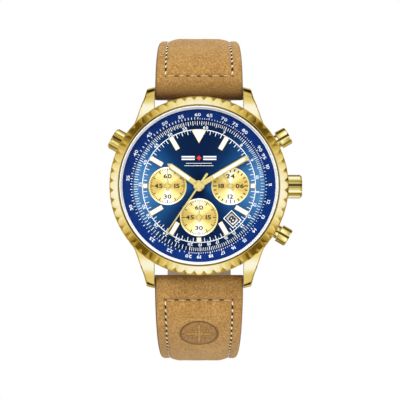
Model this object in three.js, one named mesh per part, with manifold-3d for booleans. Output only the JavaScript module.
// Chronograph wristwatch: case, movement, dial, hands, crowns, pushers, strap and buckle.
// Millimetres. The watch is modelled lying in its own axes: x towards 3 h, y towards 12 h, z out of
// the dial, origin at the middle of the case back's outer face. The group then stands it up, so
// that the dial faces -Y and 12 h points to +Z.
import * as THREE from 'three';
import Module from 'manifold-3d';
import { mergeVertices } from 'three/addons/utils/BufferGeometryUtils.js';

const wasm = await Module();
wasm.setup();

const DEG = Math.PI / 180;
const QUARTER = Math.PI / 2;

// ---------------------------------------------------------------- driving dimensions
// case
const CASE_R = 22.0;                          // case and bezel radius
const BORE_R = 16.6;                          // movement bore in the mid-case
const CASE_Z0 = 1.54;                         // underside of the mid-case
const CASE_TOP = 8.6;
const CHANNEL_R0 = 17.05, CHANNEL_R1 = 19.02; // channel for the slide-rule ring
const CHANNEL_Z = 7.0;                        // channel floor
const BORE_TOP = 7.95;                        // top of the wall between bore and channel
const LUG_X = 11.05;                          // half the space between the lugs
const LUG_TIP_Y = 25.2;                       // half the lug-to-lug length
const BAR_Y = 23.45, BAR_Z = 2.2, BAR_R = 0.9; // spring bar axis and radius
const BEZEL_TEETH = 56;

// dial
const DIAL_R = 16.5, DIAL_Z0 = 7.8, DIAL_Z1 = 8.3;
const APPLIED_Z = 8.32;                       // underside of the applied parts
const SUB_C = 7.75, SUB_R = 4.75;             // sub-dial centre distance and radius
const SUBDIALS = { '3h': [SUB_C, 0], '6h': [0, -SUB_C], '9h': [-SUB_C, 0] };
const DATE_R = 11.6, DATE_CLOCK = 135;
const DATE_OPENING = [1.32, 1.08];            // half sizes of the window, radial and tangential
const DAYS = 31;
const SUB_HAND_Z = 8.44;
// shown time, as the clock degrees of each hand
const TIME = { hour: 304.96, minute: 59.5, chrono: 214.5, h24: 332.3, small: 0, counter: 0 };

// crowns and pushers
const CROWN_Z = 5.3;                          // height of crown and pusher axes
const CROWN_CLOCK = 90;
const PUSHERS = { '2h': 60, '4h': 120 };      // clock degrees
const RING_CROWN_Z = 5.3, RING_CROWN_CLOCK = 299.5;
const RING_TEETH = 48, RING_PINION_TEETH = 6;
const RING_TOOTH_R0 = 17.35, RING_TOOTH_R1 = 18.35;

// strap
const STRAP_W0 = 22.0, STRAP_W1 = 18.0;       // width at the lugs and at the buckle
const STRAP_12_LEN = 75, STRAP_6_LEN = 115;
const LUG_END_HALF = 1.6;                     // half thickness of the rounded lug end
const STRAP_PIN_R = 0.66;                     // hole for the buckle bar, in strap and tongue

// gears
const MODULE = 0.14;                          // motion work module
const TEETH = {
  cannon: 10, centre: 64, minute: 30, minutePinion: 8, hour: 32, idler: 20, h24: 64,
  third: 60, pinion: 8,
};
const THIRD = [1.069, -4.165];                // third wheel centre
const CENTRE_TO_THIRD = 4.3;
const HOUR_Z0 = 6.28, HOUR_Z1 = 6.56;         // level of the hour wheel, idler and 24-hour wheel
const PLATE_PIVOT_Z = 4.85;                   // lower end of arbors standing in the main plate
const BRIDGE_PIVOT_Z = 2.42;                  // lower end of arbors standing in the bridge
const SUB_ARBOR_TOP = 8.55;

// ---------------------------------------------------------------- materials
const standard = (settings) => new THREE.MeshStandardMaterial(settings);
const gold = () => standard({ color: 0xd8b651, roughness: 0.16, metalness: 1.0 });
const goldSatin = () => standard({ color: 0xdcbd66, roughness: 0.35, metalness: 1.0 });
const steel = () => standard({ color: 0xb9bcc0, roughness: 0.3, metalness: 1.0 });
const brass = () => standard({ color: 0xc9a54e, roughness: 0.32, metalness: 1.0 });
const copper = () => standard({ color: 0xb56a35, roughness: 0.35, metalness: 0.9 });
const rotorGrey = () => standard({ color: 0x55585c, roughness: 0.4, metalness: 0.8 });
const blue = () => standard({ color: 0x0b2f6b, roughness: 0.3, metalness: 0.6 });
const navy = () => standard({ color: 0x03245d, roughness: 0.45, metalness: 0.1 });
const boardGreen = () => standard({ color: 0x1d5c36, roughness: 0.55, metalness: 0.1 });
const black = () => standard({ color: 0x151515, roughness: 0.6, metalness: 0.0 });
const white = () => standard({ color: 0xe6e6e6, roughness: 0.5, metalness: 0.0 });
const ivory = () => standard({ color: 0xd9d4c7, roughness: 0.55, metalness: 0.0 });
const leather = () => standard({ color: 0xbe9158, roughness: 0.85, metalness: 0.0 });
const glass = () => standard({
  color: 0xffffff, roughness: 0.02, metalness: 0.0, transparent: true, opacity: 0.15,
});

// ---------------------------------------------------------------- angles and places
// clock degrees run clockwise from 12 h; angles run counter-clockwise from +x
const clockAngle = (clock) => Math.PI / 2 - clock * DEG;
const polar = (r, angle) => [r * Math.cos(angle), r * Math.sin(angle)];
const onClock = (r, clock) => polar(r, clockAngle(clock));
const angleTo = (from, to) => Math.atan2(to[1] - from[1], to[0] - from[0]);
const circle = (r, n) => Array.from({ length: n }, (_, i) => polar(r, i * 2 * Math.PI / n));

// ---------------------------------------------------------------- welding and booleans
function indexed(positions, index) {
  const geo = new THREE.BufferGeometry();
  geo.setAttribute('position', new THREE.BufferAttribute(new Float32Array(positions), 3));
  geo.setIndex(index);
  return geo;
}
// merges equal vertices, drops collapsed triangles and turns all faces outwards
function weld(geo) {
  let merged = geo.clone();
  for (const key of Object.keys(merged.attributes)) {
    if (key !== 'position') merged.deleteAttribute(key);
  }
  merged = mergeVertices(merged, 1e-4);
  const { position } = merged.attributes;
  const source = merged.index.array;
  const index = [];
  const corners = [0, 1, 2].map(() => new THREE.Vector3());
  let volume = 0;
  for (let i = 0; i < source.length; i += 3) {
    const triangle = [source[i], source[i + 1], source[i + 2]];
    if (new Set(triangle).size < 3) continue;
    index.push(...triangle);
    corners.forEach((corner, k) => corner.fromBufferAttribute(position, triangle[k]));
    volume += corners[0].dot(corners[1].cross(corners[2]));
  }
  if (volume < 0) index.reverse();
  return indexed(position.array, index);
}
function solid(geo) {
  const welded = weld(geo);
  return new wasm.Manifold(new wasm.Mesh({
    numProp: 3,
    vertProperties: new Float32Array(welded.attributes.position.array),
    triVerts: new Uint32Array(welded.index.array),
  }));
}
function fromSolid(manifold) {
  const mesh = manifold.getMesh();
  return indexed(mesh.vertProperties, Array.from(mesh.triVerts));
}
const unite = (geos) => geos.map(solid).reduce((a, b) => a.add(b));
const carve = (body, tools) => tools.map(solid).reduce((a, b) => a.subtract(b), body);
const join = (...geos) => fromSolid(unite(geos));
const cut = (geo, ...tools) => fromSolid(carve(solid(geo), tools));

// ---------------------------------------------------------------- shapes
// piece turned about z; the profile is a list of (radius, z)
function turned(profile, segs) {
  const points = profile.map(([r, z]) => new THREE.Vector2(r, z));
  if (profile[0][0] !== 0 || profile.at(-1)[0] !== 0) points.push(points[0].clone());
  return new THREE.LatheGeometry(points, segs).rotateX(QUARTER);
}
// piece turned about x; the profile is a list of (radius, x)
const alongX = (profile, segs) => turned(profile, segs).rotateY(QUARTER);
// rod lying radially, from distance d0 to d1 of the watch axis
const radialRod = (r, d0, d1, clock, z, segs) => alongX([[0, d0], [r, d0], [r, d1], [0, d1]], segs)
  .rotateZ(clockAngle(clock))
  .translate(0, 0, z);
// upright rod
const rod = (r, z0, z1, segs, [x, y] = [0, 0]) => new THREE.CylinderGeometry(r, r, z1 - z0, segs)
  .rotateX(QUARTER)
  .translate(x, y, (z0 + z1) / 2);
// rod along x, centred on x = 0; rEnd is the radius of its +x end
const crossRod = (r, length, segs, y = 0, z = 0, rEnd = r) =>
  new THREE.CylinderGeometry(r, rEnd, length, segs).rotateZ(QUARTER).translate(0, y, z);
const block = (x0, x1, y0, y1, z0, z1) => new THREE.BoxGeometry(x1 - x0, y1 - y0, z1 - z0)
  .translate((x0 + x1) / 2, (y0 + y1) / 2, (z0 + z1) / 2);

const toVectors = (points) => points.map(([x, y]) => new THREE.Vector2(x, y));
// (x, y) outline, thickness along z
function plate(points, z0, z1, holes = []) {
  const shape = new THREE.Shape(toVectors(points));
  for (const hole of holes) shape.holes.push(new THREE.Path(toVectors(hole)));
  const geo = new THREE.ExtrudeGeometry(shape, { depth: z1 - z0, bevelEnabled: false });
  return geo.translate(0, 0, z0);
}
// (y, z) outline, thickness along x
const sidePlate = (points, x0, x1) => plate(points, x0, x1).rotateX(QUARTER).rotateZ(QUARTER);

// skin over equal-sized sections of [x, y, z]: a closed ring, or a body with flat end caps
function loft(sections, isRing = false) {
  const n = sections[0].length;
  const last = sections.length - 1;
  const index = [];
  for (let i = 0; i < (isRing ? last + 1 : last); i++) {
    const here = i * n;
    const next = (i + 1) % sections.length * n;
    for (let j = 0; j < n; j++) {
      const k = (j + 1) % n;
      index.push(here + j, next + j, here + k, here + k, next + j, next + k);
    }
  }
  if (!isRing) {
    const end = last * n;
    for (let j = 1; j + 1 < n; j++) index.push(0, j, j + 1);
    for (let j = 1; j + 1 < n; j++) index.push(end, end + j + 1, end + j);
  }
  return indexed(sections.flat(2), index);
}
// ring whose (radius, z) profile alternates between even and odd steps, two steps to a tooth
function toothedRing(teeth, startAngle, profileAt) {
  const steps = teeth * 2;
  const sections = Array.from({ length: steps }, (_, i) => {
    const angle = startAngle + i * 2 * Math.PI / steps;
    return profileAt(i % 2 === 0).map(([r, z]) => [...polar(r, angle), z]);
  });
  return loft(sections, true);
}

// ---------------------------------------------------------------- gears
// Teeth are pointed on wheels over 24 teeth and on six-leaf pinions, and trapezoids on the rest.
// phase is the angle of one tooth's middle.
function gearOutline(teeth, module, phase) {
  const pitchR = teeth * module / 2;
  const tipR = pitchR + 0.62 * module;
  const rootR = pitchR - 0.95 * module;
  const pointed = [[tipR, 0], [rootR, 0.5]];
  const trapezoid = [[rootR, -0.2], [tipR, -0.085], [tipR, 0.085], [rootR, 0.2]];
  const tooth = teeth > 24 || teeth === 6 ? pointed : trapezoid; // (radius, share of the pitch)
  const pitch = 2 * Math.PI / teeth;
  return Array.from({ length: teeth }, (_, i) => i)
    .flatMap((i) => tooth.map(([r, share]) => polar(r, phase + i * pitch + share * pitch)));
}
const gear = (teeth, module, z0, z1, phase = 0, bore = 0) =>
  plate(gearOutline(teeth, module, phase), z0, z1, bore ? [circle(bore, 16)] : []);
// tooth phase of gear B that meshes with gear A and lies in the given direction from A
function meshPhase(teethA, phaseA, direction, teethB) {
  const pitchB = 2 * Math.PI / teethB;
  const offset = (direction - phaseA) / (2 * Math.PI / teethA);
  return direction + Math.PI + (offset - Math.floor(offset)) * pitchB + pitchB / 2;
}
const centreDistance = (teethA, teethB, module) => (teethA + teethB) * module / 2;
const moduleFor = (distance, teethA, teethB) => 2 * distance / (teethA + teethB);

// ---------------------------------------------------------------- assembly
const watch = new THREE.Group();
watch.rotation.x = Math.PI / 2;
function add(name, geo, material, { parent = watch, at = [0, 0, 0], turn = 0 } = {}) {
  const flat = weld(geo).toNonIndexed();
  flat.computeVertexNormals();
  const mesh = new THREE.Mesh(flat, material);
  mesh.name = name;
  mesh.position.set(...at);
  if (turn) mesh.rotation.z = turn;
  parent.add(mesh);
}

// ---- mid-case: turned body with four lugs, movement bore and channel for the slide-rule ring
const CASE_PROFILE = [
  [BORE_R, CASE_Z0], [19.4, CASE_Z0], [21.4, 2.5], [CASE_R, 3.3], [CASE_R, 8.1],
  [21.7, CASE_TOP], [CHANNEL_R1, CASE_TOP], [CHANNEL_R1, CHANNEL_Z], [CHANNEL_R0, CHANNEL_Z],
  [CHANNEL_R0, BORE_TOP], [BORE_R, BORE_TOP],
];
const LUG_PLAN = [ // (x, y)
  [LUG_X, 12], [16.6, 12], [17.4, 13.4], [16.04, 15.4], [15.04, 18.07], [13.9, 21.6],
  [13.35, 23.8], [13.0, 24.75], [LUG_X, LUG_TIP_Y],
];
const LUG_SIDE = [ // (y, z)
  [10, 1.9], [19.5, 0.9], [24.4, 0.42], [LUG_TIP_Y, 0.8], [LUG_TIP_Y, 2.9], [24.75, 4.0],
  [24.2, 4.6], [22.4, 6.0], [20.4, 7.2], [17.5, 8.1], [14, 8.5], [10, 8.5],
];
const CASE_HOLES = [ // radius, from and to distance, clock degrees, height, segments
  [1.34, 15, 23, CROWN_CLOCK, CROWN_Z, 16],
  [3.2, 21.68, 24, CROWN_CLOCK, CROWN_Z, 24],
  ...Object.values(PUSHERS).map((clock) => [1.4, 15, 23, clock, CROWN_Z, 16]),
  [1.14, 15, 23, RING_CROWN_CLOCK, RING_CROWN_Z, 16],
  [2.85, 16.0, 18.7, RING_CROWN_CLOCK, RING_CROWN_Z, 20],
  [2.95, 21.68, 24, RING_CROWN_CLOCK, RING_CROWN_Z, 24],
];
function midCase() {
  const plan = solid(plate(LUG_PLAN, 0, 9));
  const lug = fromSolid(plan.intersect(solid(sidePlate(LUG_SIDE, 10.5, 18.5))));
  const lugs = [[1, 1], [-1, 1], [1, -1], [-1, -1]]
    .map(([sideX, sideY]) => lug.clone().scale(sideX, sideY, 1));
  // clearance for the strap ends between the lugs, outside a round core
  const strapGap = (y0, y1) =>
    cut(block(-LUG_X, LUG_X, y0, y1, -1, CASE_TOP + 1), rod(20.0, -2, 12, 48));
  const channel = [
    [CHANNEL_R0, CHANNEL_Z], [CHANNEL_R1, CHANNEL_Z], [CHANNEL_R1, 9.5], [CHANNEL_R0, 9.5],
  ];
  const tools = [
    strapGap(10, 30),
    strapGap(-30, -10),
    rod(BORE_R, 0, 12, 48),
    rod(19.15, -1, CASE_Z0, 48),
    rod(CHANNEL_R0 + 0.01, BORE_TOP, 12, 48),
    turned(channel, 48),
    // spring bar holes, blind from between the lugs
    ...[1, -1].map((side) => crossRod(0.52, 25.2, 12, side * BAR_Y, BAR_Z)),
    ...CASE_HOLES.map((hole) => radialRod(...hole)),
  ];
  return fromSolid(carve(unite([turned(CASE_PROFILE, 48), ...lugs]), tools));
}
add('mid_case', midCase(), gold());

// ---- bezel: conical top, scalloped rim
const bezelProfile = (isTooth) => [
  [CHANNEL_R1, 8.66], [CASE_R, 8.66],
  ...(isTooth ? [[CASE_R, 10.55], [21.75, 11.0]] : [[CASE_R, 9.95], [21.0, 11.36]]),
  [19.95, 11.9], [19.53, 11.55], [19.53, 10.3], [CHANNEL_R1, 10.3],
];
add('bezel', toothedRing(BEZEL_TEETH, Math.PI / 2, bezelProfile), gold());

// ---- crystal and its gasket
const CRYSTAL_GASKET = [
  [18.82, 10.34], [19.5, 10.34], [19.5, 11.72], [19.22, 11.72], [19.22, 10.62], [18.82, 10.62],
];
const CRYSTAL = [[0, 10.66], [19.18, 10.66], [19.18, 11.7], [18.75, 12.05], [0, 12.05]];
add('crystal_gasket', turned(CRYSTAL_GASKET, 40), white());
add('crystal', turned(CRYSTAL, 40), glass());

// ---- case back with six rim slots, and its gasket
const CASE_BACK = [
  [0, 0], [17.6, 0], [18.9, 0.8], [18.9, 1.5], [16.5, 1.5], [16.5, 2.4], [15.7, 2.4],
  [15.7, 1.5], [0, 1.5],
];
const BACK_GASKET = [[15.15, 1.53], [15.6, 1.53], [15.6, 1.95], [15.15, 1.95]];
const backSlots = Array.from({ length: 6 }, (_, i) =>
  block(17.3, 19.5, -1.1, 1.1, -0.5, 0.62).rotateZ(i * Math.PI / 3 + 0.5));
add('case_back', cut(turned(CASE_BACK, 36), ...backSlots), steel());
add('case_back_gasket', turned(BACK_GASKET, 32), black());

// ---- dial, sub-dial discs and date window
// rectangle at the date window, from its half sizes along and across the radius
function dateRect(halfR, halfT) {
  const [c, s] = onClock(1, DATE_CLOCK);
  return [[-halfR, -halfT], [halfR, -halfT], [halfR, halfT], [-halfR, halfT]]
    .map(([u, v]) => [(DATE_R + u) * c - v * s, (DATE_R + u) * s + v * c]);
}
function dial() {
  const holes = [circle(1.0, 16), dateRect(...DATE_OPENING)];
  const tools = Object.values(SUBDIALS).flatMap((centre) => [
    rod(SUB_R, 8.05, 9, 32, centre),
    rod(0.42, 7, 9, 10, centre),
  ]);
  return cut(plate(circle(DIAL_R, 48), DIAL_Z0, DIAL_Z1, holes), ...tools);
}
add('dial', dial(), blue());
for (const [tag, centre] of Object.entries(SUBDIALS)) {
  const disc = plate(circle(SUB_R - 0.06, 32), 0, 0.15, [circle(0.42, 10)]);
  add('subdial_disc_' + tag, disc, goldSatin(), { at: [...centre, 8.07] });
}
const windowFrame = plate(dateRect(1.7, 1.45), APPLIED_Z, 8.5, [dateRect(...DATE_OPENING)]);
add('date_window_frame', windowFrame, white());

// ---- applied indices on one thin ring: eight batons, three short marks and the 12 h triangle
function indexRing() {
  const top = 8.62;
  const mark = (hour, r0, width) =>
    block(-width / 2, width / 2, r0, 13.9, APPLIED_Z, top).rotateZ(-hour * 30 * DEG);
  return join(
    plate(circle(14.07, 48), APPLIED_Z, 8.42, [circle(13.82, 48)]),
    ...[1, 2, 4, 5, 7, 8, 10, 11].map((hour) => mark(hour, 10.35, 1.25)),
    ...[3, 6, 9].map((hour) => mark(hour, 12.7, 1.2)),
    plate([[-1.9, 13.84], [0, 10.45], [1.9, 13.84], [0, 13.93]], APPLIED_Z, top),
  );
}
add('index_ring', indexRing(), gold());

// ---- slide-rule ring with crown teeth underneath; a gap faces its crown
function slideRuleProfile(isGap) {
  const toothZ = isGap ? 8.06 : 7.18;
  return [
    [16.3, 8.42], [17.3, 8.42], [RING_TOOTH_R0, toothZ], [RING_TOOTH_R1, toothZ],
    [18.88, 8.6], [18.88, 10.2], [16.3, 8.86],
  ];
}
const slideRuleRing = toothedRing(RING_TEETH, clockAngle(RING_CROWN_CLOCK), slideRuleProfile);
add('slide_rule_ring', slideRuleRing, navy());

// ---- hands, outlined in the 12 h position and turned to the shown time
function broadHand({ length, width, tip, bossR, bossTop, boreR, boreSegs }) {
  const half = width / 2;
  const outline = [
    [-half, 0], [-half, length - tip], [0, length], [half, length - tip], [half, 0],
    [0.5, -0.3], [-0.5, -0.3],
  ];
  const hand = join(plate(outline, 0, 0.2), rod(bossR, 0, bossTop, 24));
  return cut(hand, rod(boreR, -1, 1, boreSegs));
}
const hourHand = broadHand({
  length: 9.63, width: 1.35, tip: 1.1, bossR: 1.35, bossTop: 0.2, boreR: 0.6, boreSegs: 16,
});
const minuteHand = broadHand({
  length: 14.35, width: 1.3, tip: 1.2, bossR: 1.25, bossTop: 0.24, boreR: 0.28, boreSegs: 12,
});
const CHRONO_HAND = [
  [-0.25, 0], [-0.15, 14.2], [0, 14.55], [0.15, 14.2], [0.25, 0],
  [0.32, -3.4], [0.2, -3.7], [-0.2, -3.7], [-0.32, -3.4],
];
const SUB_HAND = [
  [-0.26, 0], [-0.1, 3.9], [0, 4.1], [0.1, 3.9], [0.26, 0], [0.3, -1.2], [-0.3, -1.2],
];
const chronoHand = join(plate(CHRONO_HAND, 0, 0.16), rod(1.0, 0, 0.3, 24));
const subHand = join(plate(SUB_HAND, 0, 0.12), rod(0.62, 0, 0.26, 20));
const boredSubHand = cut(subHand, rod(0.24, -1, 0.14, 12));
const counterHand = join(subHand, rod(0.2, PLATE_PIVOT_Z - SUB_HAND_Z, 0.05, 12));
const HANDS = [ // name, geometry, centre, height, clock degrees
  ['hour_hand', hourHand, [0, 0], 8.9, TIME.hour],
  ['minute_hand', minuteHand, [0, 0], 9.35, TIME.minute],
  ['chrono_seconds_hand', chronoHand, [0, 0], 9.75, TIME.chrono],
  ['small_seconds_hand', boredSubHand, SUBDIALS['6h'], SUB_HAND_Z, TIME.small],
  ['hand_24h', boredSubHand, SUBDIALS['3h'], SUB_HAND_Z, TIME.h24],
  ['chrono_minute_hand', counterHand, SUBDIALS['9h'], SUB_HAND_Z, TIME.counter],
];
for (const [name, geo, centre, z, clock] of HANDS) {
  add(name, geo, gold(), { at: [...centre, z], turn: -clock * DEG });
}

// ---- gear layout
const CENTRE = [0, 0];
const minuteDir = -135 * DEG;
const MINUTE_WHEEL = polar(centreDistance(TEETH.cannon, TEETH.minute, MODULE), minuteDir);
const thirdDir = angleTo(CENTRE, THIRD);
const secondsDir = angleTo(THIRD, SUBDIALS['6h']);
const centreModule = moduleFor(CENTRE_TO_THIRD, TEETH.centre, TEETH.pinion);
const thirdModule = moduleFor(
  Math.hypot(THIRD[0], THIRD[1] + SUB_C), TEETH.third, TEETH.pinion);
// the idler closes the triangle between the centre and the 24-hour wheel (law of cosines)
const hourToIdler = centreDistance(TEETH.hour, TEETH.idler, MODULE);
const idlerTo24h = centreDistance(TEETH.idler, TEETH.h24, MODULE);
const idlerDir = Math.acos(
  (hourToIdler ** 2 + SUB_C ** 2 - idlerTo24h ** 2) / (2 * hourToIdler * SUB_C));
const IDLER = polar(hourToIdler, idlerDir);

// ---- motion work under the dial
// tube carrying the minute hand, leaves at the foot and the centre wheel below the main plate
const cannonPinion = join(
  turned([[0.27, 3.95], [0.5, 3.95], [0.5, 9.33], [0.27, 9.33]], 12),
  gear(TEETH.cannon, MODULE, 5.62, 6.05, minuteDir, 0.4),
  gear(TEETH.centre, centreModule, 4.1, 4.35, thirdDir, 0.4),
);
add('cannon_pinion', cannonPinion, brass());

const minutePhase = meshPhase(TEETH.cannon, minuteDir, minuteDir, TEETH.minute);
const minuteWheel = join(
  gear(TEETH.minute, MODULE, 5.72, 5.98, minutePhase),
  gear(TEETH.minutePinion, MODULE, 5.9, 6.7, minuteDir + Math.PI),
  rod(0.24, PLATE_PIVOT_Z, 6.85, 8),
);
add('minute_wheel', minuteWheel, brass(), { at: [...MINUTE_WHEEL, 0] });

const hourPhase = minuteDir + Math.PI / TEETH.hour; // gap towards the minute wheel pinion
const hourWheel = join(
  gear(TEETH.hour, MODULE, HOUR_Z0, HOUR_Z1, hourPhase, 0.56),
  turned([[0.56, HOUR_Z0], [0.82, HOUR_Z0], [0.82, 8.87], [0.56, 8.87]], 14),
);
add('hour_wheel', hourWheel, brass());

const idlerPhase = meshPhase(TEETH.hour, hourPhase, idlerDir, TEETH.idler);
const idler = join(
  gear(TEETH.idler, MODULE, HOUR_Z0, HOUR_Z1, idlerPhase),
  rod(0.24, PLATE_PIVOT_Z, 6.8, 8),
);
add('idler_24h', idler, brass(), { at: [...IDLER, 0] });

const phase24h = meshPhase(TEETH.idler, idlerPhase, angleTo(IDLER, SUBDIALS['3h']), TEETH.h24);
const wheel24h = join(
  gear(TEETH.h24, MODULE, HOUR_Z0, HOUR_Z1, phase24h),
  rod(0.2, PLATE_PIVOT_Z, SUB_ARBOR_TOP, 8),
);
add('wheel_24h', wheel24h, brass(), { at: [...SUBDIALS['3h'], 0] });

// ---- going train below the main plate
const thirdPinionPhase = meshPhase(TEETH.centre, thirdDir, thirdDir, TEETH.pinion);
const thirdWheel = join(
  gear(TEETH.third, thirdModule, 3.5, 3.72, secondsDir),
  gear(TEETH.pinion, centreModule, 3.6, 4.5, thirdPinionPhase),
  rod(0.2, BRIDGE_PIVOT_Z, 5.0, 8),
);
add('third_wheel', thirdWheel, brass(), { at: [...THIRD, 0] });

const secondsPhase = meshPhase(TEETH.third, secondsDir, secondsDir, TEETH.pinion);
const secondsWheel = join(
  gear(TEETH.pinion, thirdModule, 3.35, 3.9, secondsPhase),
  gear(30, 0.14, 2.95, 3.15),
  rod(0.2, BRIDGE_PIVOT_Z, SUB_ARBOR_TOP, 8),
);
add('seconds_wheel', secondsWheel, brass(), { at: [...SUBDIALS['6h'], 0] });
add('chrono_wheel', join(gear(30, 0.18, 2.98, 3.2), rod(0.2, BRIDGE_PIVOT_Z, 9.72, 8)), brass());

// ---- date ring with one inner tooth per day
function dateRing() {
  const inner = [];
  for (let i = 0; i < DAYS; i++) {
    const angle = i * 2 * Math.PI / DAYS;
    inner.push(polar(10.75, angle - Math.PI / DAYS), polar(10.3, angle));
  }
  return plate(circle(13.2, DAYS), 6.95, 7.35, [inner]);
}
add('date_ring', dateRing(), white());

// ---- stepping motor layout: u runs along the stator, v across it
const MOTOR = [6.82, -6.56];
const MOTOR_U = [0.8, 0.6], MOTOR_V = [0.6, -0.8];
const motorPoint = (u, v) => [0, 1].map((k) => MOTOR[k] + u * MOTOR_U[k] + v * MOTOR_V[k]);
const ROTOR = motorPoint(-2.6, 0);

// ---- movement frame
const MAIN_PLATE = [
  [0.75, 4.7], [14.5, 4.7], [14.5, 7.7], [13.4, 7.7], [13.4, 6.9], [12.7, 6.9], [12.7, 5.5],
  [0.75, 5.5],
];
const arborHoles = [MINUTE_WHEEL, THIRD, ...Object.values(SUBDIALS), ROTOR, IDLER]
  .map((centre) => rod(0.32, 4, 6, 8, centre));
const stemSlot = block(9.2, 15, -0.85, 0.85, 4.4, 6.2);
add('main_plate', cut(turned(MAIN_PLATE, 32), ...arborHoles, stemSlot), brass());

const BRIDGE = [
  [-5.5, -5.2], [-5.5, -3.2], [-1.4, 1.6], [4.2, 2.2], [5.9, 2.1], [5.9, 0.3], [3.4, -5],
  [1.6, -9.2], [-1.6, -9.2],
];
const bridge = join(
  plate(BRIDGE, 2.25, 2.72),
  ...[[-4.6, -4.2], [5.0, 1.25]].map((pillar) => rod(0.6, 2.5, 4.66, 16, pillar)),
);
const bridgeHoles = [CENTRE, THIRD, SUBDIALS['6h']].map((centre) => rod(0.28, 2, 3, 12, centre));
add('train_bridge', cut(bridge, ...bridgeHoles), steel());

// circuit board sector with the quartz can under it
const boardArc = (r) => Array.from({ length: 17 }, (_, i) => onClock(r, 8 + i * 6));
const board = plate([...boardArc(14.0), ...boardArc(6.3).reverse()], 4.36, 4.62);
add('circuit_board', board, boardGreen());
const QUARTZ_CAN = [[0, -3], [0.8, -3], [1.0, -2.8], [1.0, 2.8], [0.8, 3], [0, 3]];
const quartzCan = alongX(QUARTZ_CAN, 16).rotateZ(-40 * DEG);
add('quartz_can', quartzCan, steel(), { at: [7.4, 6.9, 3.3] });

const BATTERY = [
  [0, 2.1], [4.0, 2.1], [4.0, 2.35], [4.75, 2.35], [4.75, 4.1], [4.6, 4.25], [0, 4.25],
];
add('battery', turned(BATTERY, 32), steel(), { at: [-6.6, 6.2, 0] });
const BATTERY_CLAMP = [
  [-11.6, 5.0], [-2.0, 8.9], [-1.6, 7.9], [-6.0, 6.1], [-3.6, 0.4], [-4.6, 0.0], [-7.0, 5.7],
  [-11.2, 4.0],
];
add('battery_clamp', plate(BATTERY_CLAMP, 1.75, 2.0), steel());

// stepping motor: stator, rotor and coil
const statorBar = [[-2.6, -1.3], [4.0, -1.3], [4.0, 1.3], [-2.6, 1.3]]
  .map(([u, v]) => motorPoint(u, v));
const stator = join(plate(statorBar, 3.9, 4.15), rod(1.75, 3.9, 4.15, 24, ROTOR));
add('stator', cut(stator, rod(1.15, 3, 5, 24, ROTOR)), steel());
const rotor = join(
  rod(0.85, 3.75, 4.3, 20),
  gear(6, 0.12, 3.0, 3.8),
  rod(0.14, 2.6, 4.95, 10),
);
add('rotor', rotor, rotorGrey(), { at: [...ROTOR, 0] });
const COIL = [
  [0, -3.2], [1.0, -3.2], [1.0, -2.8], [0.85, -2.8], [0.85, 2.8], [1.0, 2.8], [1.0, 3.2],
  [0, 3.2],
];
const coil = alongX(COIL, 16).rotateZ(angleTo(CENTRE, MOTOR_U));
add('coil', coil, copper(), { at: [...motorPoint(0.4, 2.6), 3.0] });

// movement holder ring with slots for the stem and the pusher tips
const HOLDER = [
  [14.62, 1.9], [15.1, 1.6], [15.1, 2.1], [15.65, 2.5], [16.4, 2.5], [16.4, 7.72],
  [14.62, 7.72],
];
const holder = cut(
  turned(HOLDER, 32),
  radialRod(1.0, 13, 18, CROWN_CLOCK, CROWN_Z, 10),
  ...Object.values(PUSHERS).map((clock) => radialRod(0.85, 13, 18, clock, CROWN_Z, 10)),
);
add('movement_holder', holder, ivory());

// ---- crowns and pushers, each in a group whose x axis points outwards
function radialGroup(clock, z) {
  const group = new THREE.Group();
  group.position.set(0, 0, z);
  group.rotation.z = clockAngle(clock);
  watch.add(group);
  return group;
}
// fluted barrel with chamfered ends, from x0 to x1
function fluted({ grooveR, crestR, flutes, x0, x1, chamfer }) {
  const outline = [];
  for (let i = 0; i < flutes; i++) {
    const angle = i * 2 * Math.PI / flutes;
    outline.push(polar(crestR - chamfer, angle));
    outline.push(polar(grooveR - chamfer, angle + Math.PI / flutes));
  }
  const barrel = new THREE.ExtrudeGeometry(new THREE.Shape(toVectors(outline)), {
    depth: x1 - x0 - 2 * chamfer,
    bevelEnabled: true,
    bevelThickness: chamfer,
    bevelSize: chamfer,
    bevelSegments: 1,
  });
  return barrel.translate(0, 0, x0 + chamfer).rotateY(QUARTER);
}

// crown, stem, gasket and tube at 3 h
{
  const parent = radialGroup(CROWN_CLOCK, CROWN_Z);
  const tube = [[0.74, 18.2], [1.26, 18.2], [1.26, 22.9], [0.74, 22.9]];
  const barrel = fluted({
    grooveR: 2.64, crestR: 2.92, flutes: 20, x0: 21.85, x1: 25.5, chamfer: 0.35,
  });
  const recess = [[0, 21], [1.98, 21], [1.98, 24.1], [0, 24.1]];
  const gasket = [[1.36, 22.1], [1.86, 22.1], [1.86, 22.6], [1.36, 22.6]];
  const stem = [
    [0, 9.6], [0.35, 9.6], [0.35, 11.0], [0.55, 11.0], [0.55, 13.0], [0.4, 13.0],
    [0.4, 14.0], [0.55, 14.0], [0.55, 24.06], [0, 24.06],
  ];
  add('crown_tube', alongX(tube, 20), gold(), { parent });
  add('crown', cut(barrel, alongX(recess, 16)), gold(), { parent });
  add('crown_gasket', alongX(gasket, 16), black(), { parent });
  add('stem', alongX(stem, 12), steel(), { parent });
}

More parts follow.
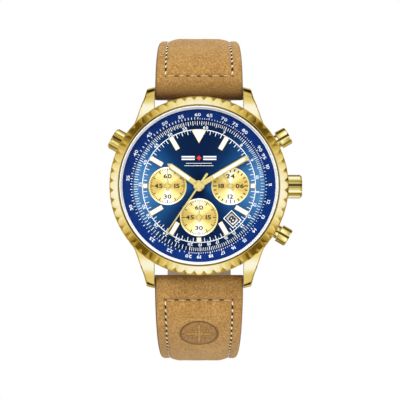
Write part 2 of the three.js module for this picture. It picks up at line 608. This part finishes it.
// pushers with tubes and return springs
const PUSHER_TUBE = [
  [0.72, 17.4], [1.32, 17.4], [1.32, 22.05], [1.7, 22.05], [1.7, 22.88], [1.26, 22.88],
  [1.26, 20.9], [0.72, 20.9],
];
const PUSHER = [
  [0, 15.5], [0.55, 15.5], [0.55, 24.5], [1.78, 24.5], [1.78, 22.95], [2.1, 22.95],
  [2.25, 23.1], [2.25, 25.4], [2.05, 25.65], [0, 25.65],
];
const SPRING = { start: 21.11, length: 2.3, radius: 0.91, turns: 4, wireR: 0.15 };
class SpringCurve extends THREE.Curve {
  getPoint(t, target = new THREE.Vector3()) {
    const [y, z] = polar(SPRING.radius, t * 2 * Math.PI * SPRING.turns);
    return target.set(SPRING.start + t * SPRING.length, y, z);
  }
}
for (const [tag, clock] of Object.entries(PUSHERS)) {
  const parent = radialGroup(clock, CROWN_Z);
  const wire = new THREE.Shape(toVectors(circle(SPRING.wireR, 4)));
  const spring = new THREE.ExtrudeGeometry(wire, {
    steps: 26, extrudePath: new SpringCurve(), bevelEnabled: false,
  });
  add('pusher_tube_' + tag, alongX(PUSHER_TUBE, 16), gold(), { parent });
  add('pusher_' + tag, alongX(PUSHER, 16), gold(), { parent });
  add('pusher_spring_' + tag, spring, steel(), { parent });
}

// slide-rule crown at 10 h with its pinion
{
  const parent = radialGroup(RING_CROWN_CLOCK, RING_CROWN_Z);
  const tube = [[0.56, 18.75], [1.08, 18.75], [1.08, 22.4], [0.56, 22.4]];
  const barrel = fluted({
    grooveR: 2.42, crestR: 2.7, flutes: 16, x0: 21.9, x1: 24.75, chamfer: 0.4,
  });
  const recess = [[0, 21], [1.5, 21], [1.5, 23.2], [0, 23.2]];
  const shaft = [[0, 17.2], [0.5, 17.2], [0.5, 23.4], [0, 23.4]];
  const crown = join(cut(barrel, alongX(recess, 16)), alongX(shaft, 12));
  const module = (RING_TOOTH_R0 + RING_TOOTH_R1) / RING_TEETH;
  const pinion = gear(RING_PINION_TEETH, module, 0, RING_TOOTH_R1 - RING_TOOTH_R0, 0, 0.53)
    .rotateY(QUARTER)
    .translate(RING_TOOTH_R0, 0, 0);
  add('slide_rule_crown_tube', alongX(tube, 20), gold(), { parent });
  add('slide_rule_crown', crown, gold(), { parent });
  add('slide_rule_pinion', pinion, steel(), { parent });
}

// ---- spring bars
const SPRING_BAR = [
  [0, -12.25], [0.45, -12.25], [0.45, -10.85], [BAR_R, -10.85], [BAR_R, 10.85], [0.45, 10.85],
  [0.45, 12.25], [0, 12.25],
];
for (const [tag, y] of [['12', BAR_Y], ['6', -BAR_Y]]) {
  add('spring_bar_' + tag, alongX(SPRING_BAR, 16), steel(), { at: [0, y, BAR_Z] });
}

// ---- straps: bent centre lines through (y, z) points; s is the length along from the spring bar
const strapPath = (points) => new THREE.CatmullRomCurve3(
  points.map(([y, z]) => new THREE.Vector3(0, y, z)), false, 'centripetal');
const path12 = strapPath([
  [BAR_Y, BAR_Z], [29.7, -1.2], [34.8, -7.8], [37.9, -17.5], [38.5, -29.5], [36.3, -42.0],
  [30.8, -53.5], [22.2, -61.6], [12, -66],
]);
const path6 = strapPath([
  [-BAR_Y, BAR_Z], [-30.1, -1.1], [-36.8, -7.8], [-41.0, -18], [-41.9, -30], [-39.6, -43],
  [-33.4, -54.5], [-23.3, -63], [-11, -67.4], [2, -68.4], [14, -66.2],
]);
function frameAt(path, s) {
  const u = Math.max(0, Math.min(1, s / path.getLength()));
  const tangent = path.getTangentAt(u);
  return { point: path.getPointAt(u), tangent, tilt: Math.atan2(tangent.z, tangent.y) };
}
const smooth = (a, b, x) => THREE.MathUtils.smoothstep(x, a, b);
const strapWidth = (s) => STRAP_W0 + (STRAP_W1 - STRAP_W0) * smooth(0, 62, s);

// half thickness: round lug end, then thinner towards the free end
function strapHalf(s, length) {
  if (s < 0) return Math.sqrt(Math.max(0.05, LUG_END_HALF ** 2 - s * s));
  return LUG_END_HALF - 0.3 * smooth(2.5, 6, s) - 0.25 * smooth(20, length, s);
}
// side is 1 for the 12 h strap and -1 for the 6 h strap: it turns the section out of the loop
function strapSection(s, { path, length, side, width }) {
  const { point, tangent } = frameAt(path, s);
  if (s < 0) point.addScaledVector(tangent, s);
  const edge = width(s) / 2;
  const half = strapHalf(s, length);
  const fade = 1 - smooth(length * 0.72, length * 0.9, s);
  const padded = half + Math.max(0.02, 0.85 * smooth(4.4, 7, s) * fade);
  const outline = [ // (across, outwards)
    [-edge, -half + 0.35], [-edge + 0.35, -half], [edge - 0.35, -half], [edge, -half + 0.35],
    [edge, half - 0.05], [edge * 0.72, half], [edge * 0.58, padded],
    [-edge * 0.58, padded], [-edge * 0.72, half], [-edge, half - 0.05],
  ];
  return outline.map(([x, v]) => [
    x * side, point.y - side * tangent.z * v, point.z + side * tangent.y * v,
  ]);
}
// padEnd is where the evenly spaced stations stop; tail lists the last ones, from the free end
function strapBody(strap) {
  const { length, padEnd, tail } = strap;
  const stations = [0, 1, 2, 3].map((i) => -LUG_END_HALF + i * 0.53);
  stations.push(1.5, 4.2, 6.0);
  const count = Math.round((length - 12) / 5);
  for (let i = 1; i <= count; i++) stations.push(6 + (padEnd - 6) * i / count);
  stations.push(...tail.map((offset) => length + offset));
  return loft(stations.map((s) => strapSection(s, strap)));
}
const strapBarHole = (y) => crossRod(BAR_R + 0.06, 30, 12, y, BAR_Z, BAR_R + 0.08);

function strap12() {
  const { point, tilt } = frameAt(path12, STRAP_12_LEN);
  const body = strapBody({
    path: path12, length: STRAP_12_LEN, side: 1, width: strapWidth,
    padEnd: STRAP_12_LEN - 5, tail: [-3, -1.6, 0.0, 1.0, 1.45],
  });
  const buckleHole = crossRod(STRAP_PIN_R, 30, 12, point.y, point.z);
  const tongueSlot = block(-1.55, 1.55, -2.6, 5, -4, 4)
    .rotateX(tilt)
    .translate(0, point.y, point.z);
  return cut(body, strapBarHole(BAR_Y), buckleHole, tongueSlot);
}
add('strap_12', strap12(), leather());

// width of the 6 h strap, rounded off over its last 8 mm
function tailWidth(s) {
  const width = strapWidth(s);
  const toEnd = STRAP_6_LEN - s;
  if (toEnd >= 8) return width;
  return Math.max(5.5, width * Math.sqrt(1 - (1 - toEnd / 8) ** 2.2));
}
function strap6() {
  const body = strapBody({
    path: path6, length: STRAP_6_LEN, side: -1, width: tailWidth,
    padEnd: STRAP_6_LEN - 10, tail: [-8, -6, -4, -2.2, -1.0, 0],
  });
  const holes = Array.from({ length: 7 }, (_, i) => {
    const { point, tilt } = frameAt(path6, STRAP_6_LEN - 24 - i * 6.4);
    return rod(0.95, -5, 5, 8).rotateX(tilt).translate(0, point.y, point.z);
  });
  return cut(body, strapBarHole(-BAR_Y), ...holes);
}
add('strap_6', strap6(), leather());

// ---- buckle and keepers, in groups with y along the strap and z out of the loop
function strapGroup(s) {
  const { point, tilt } = frameAt(path12, s);
  const group = new THREE.Group();
  group.position.set(0, point.y, point.z);
  group.rotation.x = tilt;
  watch.add(group);
  return group;
}
const BUCKLE_FRAME = [ // (x, y)
  [-11.2, -1.5], [-9.4, -1.5], [-9.4, 7.3], [9.4, 7.3], [9.4, -1.5], [11.2, -1.5],
  [11.2, 8.6], [10.2, 9.6], [-10.2, 9.6], [-11.2, 8.6],
];
const TONGUE_ARM = [ // (y, z)
  [0.9, 0.05], [0.9, 0.95], [7.0, 1.75], [9.5, 1.8], [9.7, 1.15], [7.0, 1.1], [1.15, 0.05],
];
{
  const parent = strapGroup(STRAP_12_LEN);
  const frame = cut(plate(BUCKLE_FRAME, -1.05, 1.05), crossRod(0.65, 20.9, 12));
  const eye = plate(circle(1.35, 20), -0.85, 0.85, [circle(STRAP_PIN_R, 16)]).rotateY(QUARTER);
  add('buckle_frame', frame, gold(), { parent });
  add('buckle_bar', crossRod(0.6, 20.6, 12), steel(), { parent });
  add('buckle_tongue', join(eye, sidePlate(TONGUE_ARM, -0.85, 0.85)), gold(), { parent });
}
const KEEPER_OUTER = [[-10.3, -2.2], [10.3, -2.2], [10.3, 4.3], [-10.3, 4.3]]; // (x, z)
const KEEPER_INNER = [[-9.5, -1.7], [-9.5, 3.8], [9.5, 3.8], [9.5, -1.7]];
for (const [name, fromBuckle] of [['fixed_keeper', 14], ['free_keeper', 24]]) {
  const keeper = plate(KEEPER_OUTER, -2.5, 2.5, [KEEPER_INNER]).rotateX(QUARTER);
  add(name, keeper, leather(), { parent: strapGroup(STRAP_12_LEN - fromBuckle) });
}

export default watch;
